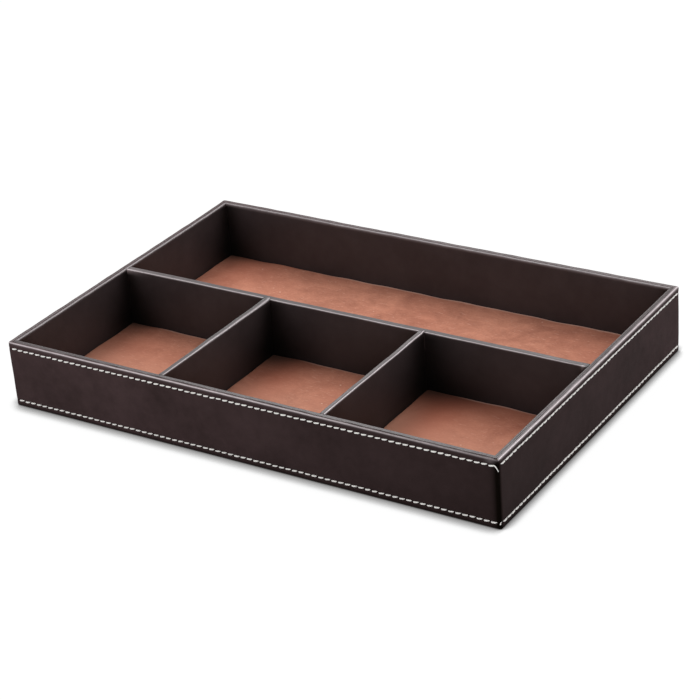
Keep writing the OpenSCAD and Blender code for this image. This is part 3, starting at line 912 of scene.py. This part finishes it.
def suede_floor(place, seed, base, left, back, pale, painted_light, wall_light, corner):
    """A suede sheet on its card: gently wavy, with soft edges that lift here and there.

    Painted shade makes the nap darker and redder by base all over, by left in a band 17 mm off the left
    wall and by back along the back wall. Painted light makes it lighter towards the front and close to the
    left wall, by the two strengths after pale. Corner is how dark the painted shade in the back left
    corner is and how far it reaches along X and along Y; more painted shade lies in both back corners,
    along the back edge near the left wall and round all edges, less there as pale grows. Along the back
    edge, away from its left end, lies a painted highlight as strong as pale.
    """
    node = f"{place}_bin_suede"
    low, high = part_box(node)
    margin = 3.0 * MM
    x = edge_crowded(low.x, high.x, 2.2 * MM, margin)
    y = edge_crowded(low.y, high.y, 2.2 * MM, margin)
    grid_x, grid_y = np.meshgrid(x, y, indexing="ij")
    to_left, to_right = grid_x - low.x, high.x - grid_x
    to_front, to_back = grid_y - low.y, high.y - grid_y
    edge = np.minimum.reduce([to_left, to_right, to_front, to_back])
    waves = 0.10 * MM * ripple(grid_x, grid_y, [(0.11, 0.07), (-0.06, 0.09), (0.045, -0.05)], seed)
    lift = 0.5 + 0.5 * ripple(grid_x, grid_y, [(0.083, 0.119), (-0.047, 0.061), (0.029, 0.037)], seed + 9)
    curl = 0.9 * MM * lift * np.exp(-edge / (2.6 * MM))
    soft = 0.30 * MM * (1 - np.sqrt(1 - (1 - ramp(edge, 0, 0.45 * MM)) ** 2))
    top = high.z + waves * ramp(edge, 0, 4 * MM) + curl - soft
    bottom = low.z + curl
    # painted shade, darker and redder: all over, in a band off the left wall and along the back wall
    shade = base + left * bell(to_left - 17 * MM, 19 * MM)
    shade = np.maximum(shade + back * bell(to_back, 15 * MM), 0)
    # painted light: lighter towards the front of the bin and close to the left wall
    painted_light_share = painted_light * eased((to_back - 22 * MM) / (34 * MM))
    painted_light_share = painted_light_share + wall_light * bell(to_left, 11 * MM) * eased((to_back - 4 * MM) / (34 * MM))
    strength, along, across = corner
    # painted shade in both back corners, along the back edge by the left wall, in the given corner and round
    # all edges
    clear = 1 - 0.60 * bell(np.hypot(to_left, to_back), 12 * MM)
    clear = clear * (1 - 0.75 * bell(to_left, 30 * MM) * bell(to_back, 4.5 * MM))
    clear = clear * (1 - 0.50 * bell(np.hypot(to_right, to_back), 8 * MM))
    clear = clear * (1 - strength * bell(to_left, along) * bell(to_back, across))
    clear = clear * (1 - (0.75 - pale) * np.exp(-edge / (0.9 * MM)))
    # painted highlight along the back edge, away from its left end
    highlight_span = eased((to_left / (high.x - low.x) - 0.15) / 0.20)
    painted_edge_highlight = pale * ramp(to_back, 1.5 * MM, 0.6 * MM) * highlight_span
    piece = sheet_piece(f"{place}_suede_floor", x, y, top, bottom, 1.5 * MM, SUEDE, [node],
                        {"edge": painted_edge_highlight, "shade": shade, "painted_light": painted_light_share, "painted_dark": 1 - clear})
    return piece


def underside_felt():
    """The felt: flat under the turned-in leather and a step higher inside it."""
    low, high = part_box("underside_felt")
    x = edge_crowded(low.x, high.x, 3.0 * MM, 3 * MM)
    y = edge_crowded(low.y, high.y, 3.0 * MM, 3 * MM)
    edge_x, edge_y = HALF_LENGTH - TURN_IN, HALF_DEPTH - TURN_IN
    near = np.linspace(-1.2, 1.2, 7) * MM
    x = np.unique(np.concatenate([x[np.abs(np.abs(x) - edge_x) > 2 * MM], edge_x + near, -edge_x + near]))
    y = np.unique(np.concatenate([y[np.abs(np.abs(y) - edge_y) > 2 * MM], edge_y + near, -edge_y + near]))
    grid_x, grid_y = np.meshgrid(x, y, indexing="ij")
    inside = np.minimum(edge_x - np.abs(grid_x), edge_y - np.abs(grid_y))
    share = ramp(inside, -0.6 * MM, 1.8 * MM)
    step = (BASE_BOTTOM - SKIN_BOTTOM) * eased(share)
    waves = 0.02 * MM * (1 + ripple(grid_x, grid_y, [(0.09, 0.06), (-0.05, 0.08)], 77))
    bottom = low.z + step + waves * (share > 0.99)
    top = low.z + SKIN_BOTTOM + step
    piece = sheet_piece("felt_underside", x, y, top, bottom, 1.0 * MM, FELT, ["underside_felt"])
    return piece


# Stitches

def tubes(middle, radius, out, across):
    """Closed threads along middle lines.

    middle is threads x RINGS x 3 and radius threads x RINGS. Each ring is
    middle + radius x (cos(a) x out + sin(a) x across) for SIDES angles a.
    """
    number = len(middle)
    angle = (np.arange(SIDES) * 2 * np.pi / SIDES)[None, None, :, None]
    ring = np.cos(angle) * out + np.sin(angle) * across[:, :, None, :]
    points = middle[:, :, None, :] + radius[:, :, None, None] * ring
    one = grid_faces(RINGS, SIDES, close_columns=True)
    ends = np.arange(SIDES) + np.array([[0], [(RINGS - 1) * SIDES]])
    start = (np.arange(number) * RINGS * SIDES)[:, None, None]
    faces = [(one[None] + start).reshape(-1, 4), (ends[None] + start).reshape(-1, SIDES)]
    turns = np.linspace(0, 3.5, RINGS)[None, :, None] + angle[..., 0] / np.pi
    ply = np.broadcast_to(turns, (number, RINGS, SIDES)).reshape(-1)
    return points.reshape(-1, 3), faces, np.stack([ply, ply * 0, ply * 0], -1)


def seam_tail(places, heights, depths):
    """Middle line of a thread end on the front face, rounded through a few points."""
    t = np.linspace(0, 1, RINGS)
    knots = np.linspace(0, 1, len(places))
    line = [np.interp(t, knots, np.asarray(values) * MM) for values in (places, depths, heights)]
    line = np.stack(line, -1)
    line[1:-1] = (line[:-2] + 2 * line[1:-1] + line[2:]) / 4
    return line


def stitch_row(node, turn, seed, tail=None):
    """A row of stitches along one side, and a thread end at the upright seam if there is one.

    The middle line of a stitch is a bow: height = rise x (1 - |2 t| ** 6) - dive x |2 t| ** 8 for t from
    -1/2 to 1/2, and the thread thins towards its ends. Each stitch slants a few degrees. On the right
    side the stitches are longer and straighter, and the lower row's thread is the thickest.
    """
    low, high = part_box(node)
    angle = math.radians(turn)
    out = np.array([math.cos(angle), math.sin(angle), 0.0])
    row_z = row_heights(out)[node.endswith("lower_stitches")]
    forward = np.array([-math.sin(angle), math.cos(angle), 0.0])
    up = np.array([0.0, 0.0, 1.0])
    run = abs((np.array(high - low)) @ forward)
    number = int(round((run - STITCH) / PITCH)) + 1
    rng = np.random.default_rng(seed)
    slant = np.radians((7.0 if turn else 3.0) + rng.normal(0, 1.6, number))[:, None]
    wander = rng.normal(0, 0.07 * MM, number)[:, None]
    thick = (1 + rng.normal(0, 0.05, number))[:, None]
    t = np.linspace(-0.5, 0.5, RINGS)[None, :]
    at = (np.arange(number) - (number - 1) / 2)[:, None] * PITCH
    bow = 0.14 * MM * (1 - np.abs(2 * t) ** 6) - 0.5 * MM * np.abs(2 * t) ** 8
    bulk = 1.0 if turn else 1.12 if node.endswith("lower_stitches") else 1.04
    radius = THREAD / 2 * bulk * thick * (1 - 0.4 * np.abs(2 * t) ** 3)
    long = t * (STITCH + (0.30 if turn else 0.65) * MM)
    along = at + long * np.cos(slant)
    level = row_z + long * np.sin(slant) + wander
    face_out = (HALF_LENGTH if turn % 180 == 0 else HALF_DEPTH) - 0.05 * MM
    middle = along[..., None] * forward + (face_out + bow)[..., None] * out + level[..., None] * up
    across = np.cos(slant)[..., None] * up - np.sin(slant)[..., None] * forward
    across = np.broadcast_to(across, middle.shape)
    if tail is not None:
        ahead = np.gradient(tail, axis=0)
        sideways = np.cross(out, ahead)
        sideways /= np.linalg.norm(sideways, axis=1, keepdims=True)
        middle = np.concatenate([middle, tail[None]])
        across = np.concatenate([across, sideways[None]])
        radius = np.concatenate([radius, THREAD / 2 * np.linspace(0.85, 0.40, RINGS)[None]])
    points, faces, ply = tubes(middle, radius, out, across)
    return make_piece(node.replace("stitches", "thread"), points, faces, YARN, [node], sharp=80,
                      attributes={"ply": ply})


# Thread ends at the upright seam as places along the front, heights and depths in millimetres
UPPER_TAIL = seam_tail([171.5, 172.4, 173.1, 173.7, 174.3], [41.1, 41.3, 40.4, 39.0, 37.5],
                       [-119.8, -120.0, -119.8, -119.6, -119.3])
LOWER_TAIL = seam_tail([174.0, 174.2, 174.7], [3.0, 4.0, 4.9], [-119.2, -119.5, -119.2])

outer_strip()
wall_lining("right_wall_lining", 0, HALF_LENGTH, HALF_DEPTH, seed=21)
wall_lining("back_wall_lining", 90, HALF_DEPTH, HALF_LENGTH, seed=22,
            painted_light_share=0.29, highlight_turn=30.0, highlight_width=0.95 * MM)
wall_lining("left_wall_lining", 180, HALF_LENGTH, HALF_DEPTH, seed=23,
            painted_light_share=0.30, highlight_turn=4.0, highlight_width=0.85 * MM)
wall_lining("front_wall_lining", 270, HALF_DEPTH, HALF_LENGTH, seed=24)
divider_cover("long_divider_wrap", "long_divider_cover", True, seed=31, left=(-0.5, -1.0), right=LONG_LEAN,
              painted_light_share=(0.66, 0.66), highlight_turn=20.0, highlight_width=0.45 * MM, far_shade=(0.0, 0.0))
divider_cover("left_cross_wrap", "left_cross_cover", False, seed=32, left=(0.2, 1.1), right=(-0.9, 1.0),
              painted_light_share=(0.74, 0.40), highlight_turn=12.0, highlight_width=0.62 * MM, far_shade=(0.25, 0.75))
divider_cover("right_cross_wrap", "right_cross_cover", False, seed=33, left=(0.2, 0.2), right=(-0.85, -0.85),
              painted_light_share=(1.0, 1.0), highlight_turn=12.0, highlight_width=0.62 * MM, far_shade=(0.0, 0.0))
suede_floor("back", seed=41, base=0.14, left=0.75, back=0.25, pale=0.42, painted_light=0.05,
            wall_light=0.0, corner=(0.0, 20 * MM, 20 * MM))
suede_floor("left", seed=42, base=0.42, left=0.4, back=-0.4, pale=0.25, painted_light=0.22,
            wall_light=0.0, corner=(0.28, 24 * MM, 80 * MM))
suede_floor("middle", seed=43, base=0.18, left=0.95, back=0.15, pale=0.2, painted_light=0.22,
            wall_light=0.0, corner=(0.85, 27 * MM, 18 * MM))
suede_floor("right", seed=44, base=0.50, left=0.8, back=0.6, pale=0.27, painted_light=0.22,
            wall_light=0.25, corner=(0.68, 50 * MM, 17 * MM))
underside_felt()
for number, (place, turn) in enumerate((("right", 0), ("back", 90), ("left", 180), ("front", 270))):
    for row, tail in (("upper", UPPER_TAIL), ("lower", LOWER_TAIL)):
        stitch_row(f"{place}_{row}_stitches", turn, 60 + 2 * number + (row == "lower"),
                   tail if place == "front" else None)

for name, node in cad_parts.items():
    finish = BOARD if name.endswith("board") else CARD if name.endswith("card") else None
    if finish:
        node.data.materials.clear()
        node.data.materials.append(finish)


# Camera, light and table

def turned(azimuth, elevation, roll):
    """Rotation of a camera at an azimuth from the front, looking down by elevation, and rolled."""
    a, e = math.radians(azimuth), math.radians(elevation)
    ahead = Vector((-math.sin(a) * math.cos(e), math.cos(a) * math.cos(e), -math.sin(e)))
    level = Vector((math.cos(a), math.sin(a), 0))
    up = level.cross(ahead)
    axes = Matrix((level, up, -ahead)).transposed()
    return axes @ Matrix.Rotation(math.radians(roll), 3, "Z")


camera = bpy.data.objects.new("camera", bpy.data.cameras.new("camera"))
bpy.context.scene.collection.objects.link(camera)
camera.data.sensor_width = 36.0
camera.data.lens = 113.77
camera.data.clip_end = 50.0
stand = Matrix.Translation((0.69576, -1.03776, 0.65964))
camera.matrix_world = stand @ turned(azimuth=33.744, elevation=27.130, roll=-4.395).to_4x4()
bpy.context.scene.camera = camera


def softbox(name, place, aim, along, width, height, power):
    """A soft rectangular lamp that faces a point, with its width laid as near to a direction as it goes."""
    lamp = bpy.data.lights.new(name, "AREA")
    lamp.shape = "RECTANGLE"
    lamp.size = width
    lamp.size_y = height
    lamp.energy = power
    back = (Vector(place) - Vector(aim)).normalized()
    side = (Vector(along) - back * back.dot(Vector(along))).normalized()
    axes = Matrix((side, back.cross(side), back)).transposed()
    holder = bpy.data.objects.new(name, lamp)
    holder.matrix_world = Matrix.Translation(place) @ axes.to_4x4()
    bpy.context.scene.collection.objects.link(holder)


softbox("high_softbox", place=(-0.36, 0.55, 1.05), aim=(0, 0, 0), along=(0.66, 0.80, -0.23),
        width=1.25, height=0.45, power=11.0)

world = bpy.data.worlds.new("studio")
bpy.context.scene.world = world
world.use_nodes = True
sky = Graph(world.node_tree)
sky.feed(sky.tree.nodes["Background"], {"Color": WHITE, "Strength": DAYLIGHT + sky.seen() * (1 - DAYLIGHT)})


def table_finish():
    """A plain white table. To the camera it glows white but for a shadow painted from ambient occlusion close
    round the tray.
    """
    top = Finish("white table")
    top.surface(Base_Color=rgb(232, 232, 232), Roughness=0.9, Specular_IOR_Level=0.0)
    # painted shadow: ambient occlusion darkens the glow, with a narrower reach on the right and darkest where
    # the tray touches the table
    painted_shade = top.node("ShaderNodeAmbientOcclusion", {"samples": 16}, {"Distance": SHADOW_REACH}, "AO")
    on_right = top.part("X").above(HALF_LENGTH, HALF_LENGTH + 2 * MM)
    open_sky = ((painted_shade - 0.5) / (0.40 - on_right * 0.125)).clamped()
    touching = painted_shade.above(0.32, 0.53)
    shade = top.mix((open_sky ** 1.65 * 0.7 + 0.3) * touching, rgb(40, 37, 36), WHITE)
    glow = top.node("ShaderNodeEmission", {}, {"Color": shade, "Strength": 1.03})
    plain = Signal(top, top.shader.outputs[0])
    both = top.node("ShaderNodeMixShader", {}, {0: top.seen() * 0.95, 1: plain, 2: glow})
    top.feed(top.tree.nodes["Material Output"], {"Surface": both})
    return top.material


bpy.ops.mesh.primitive_plane_add(size=12.0)
table = bpy.context.object
table.name = "table"
table.data.materials.append(table_finish())

bpy.context.scene.view_settings.view_transform = "Standard"
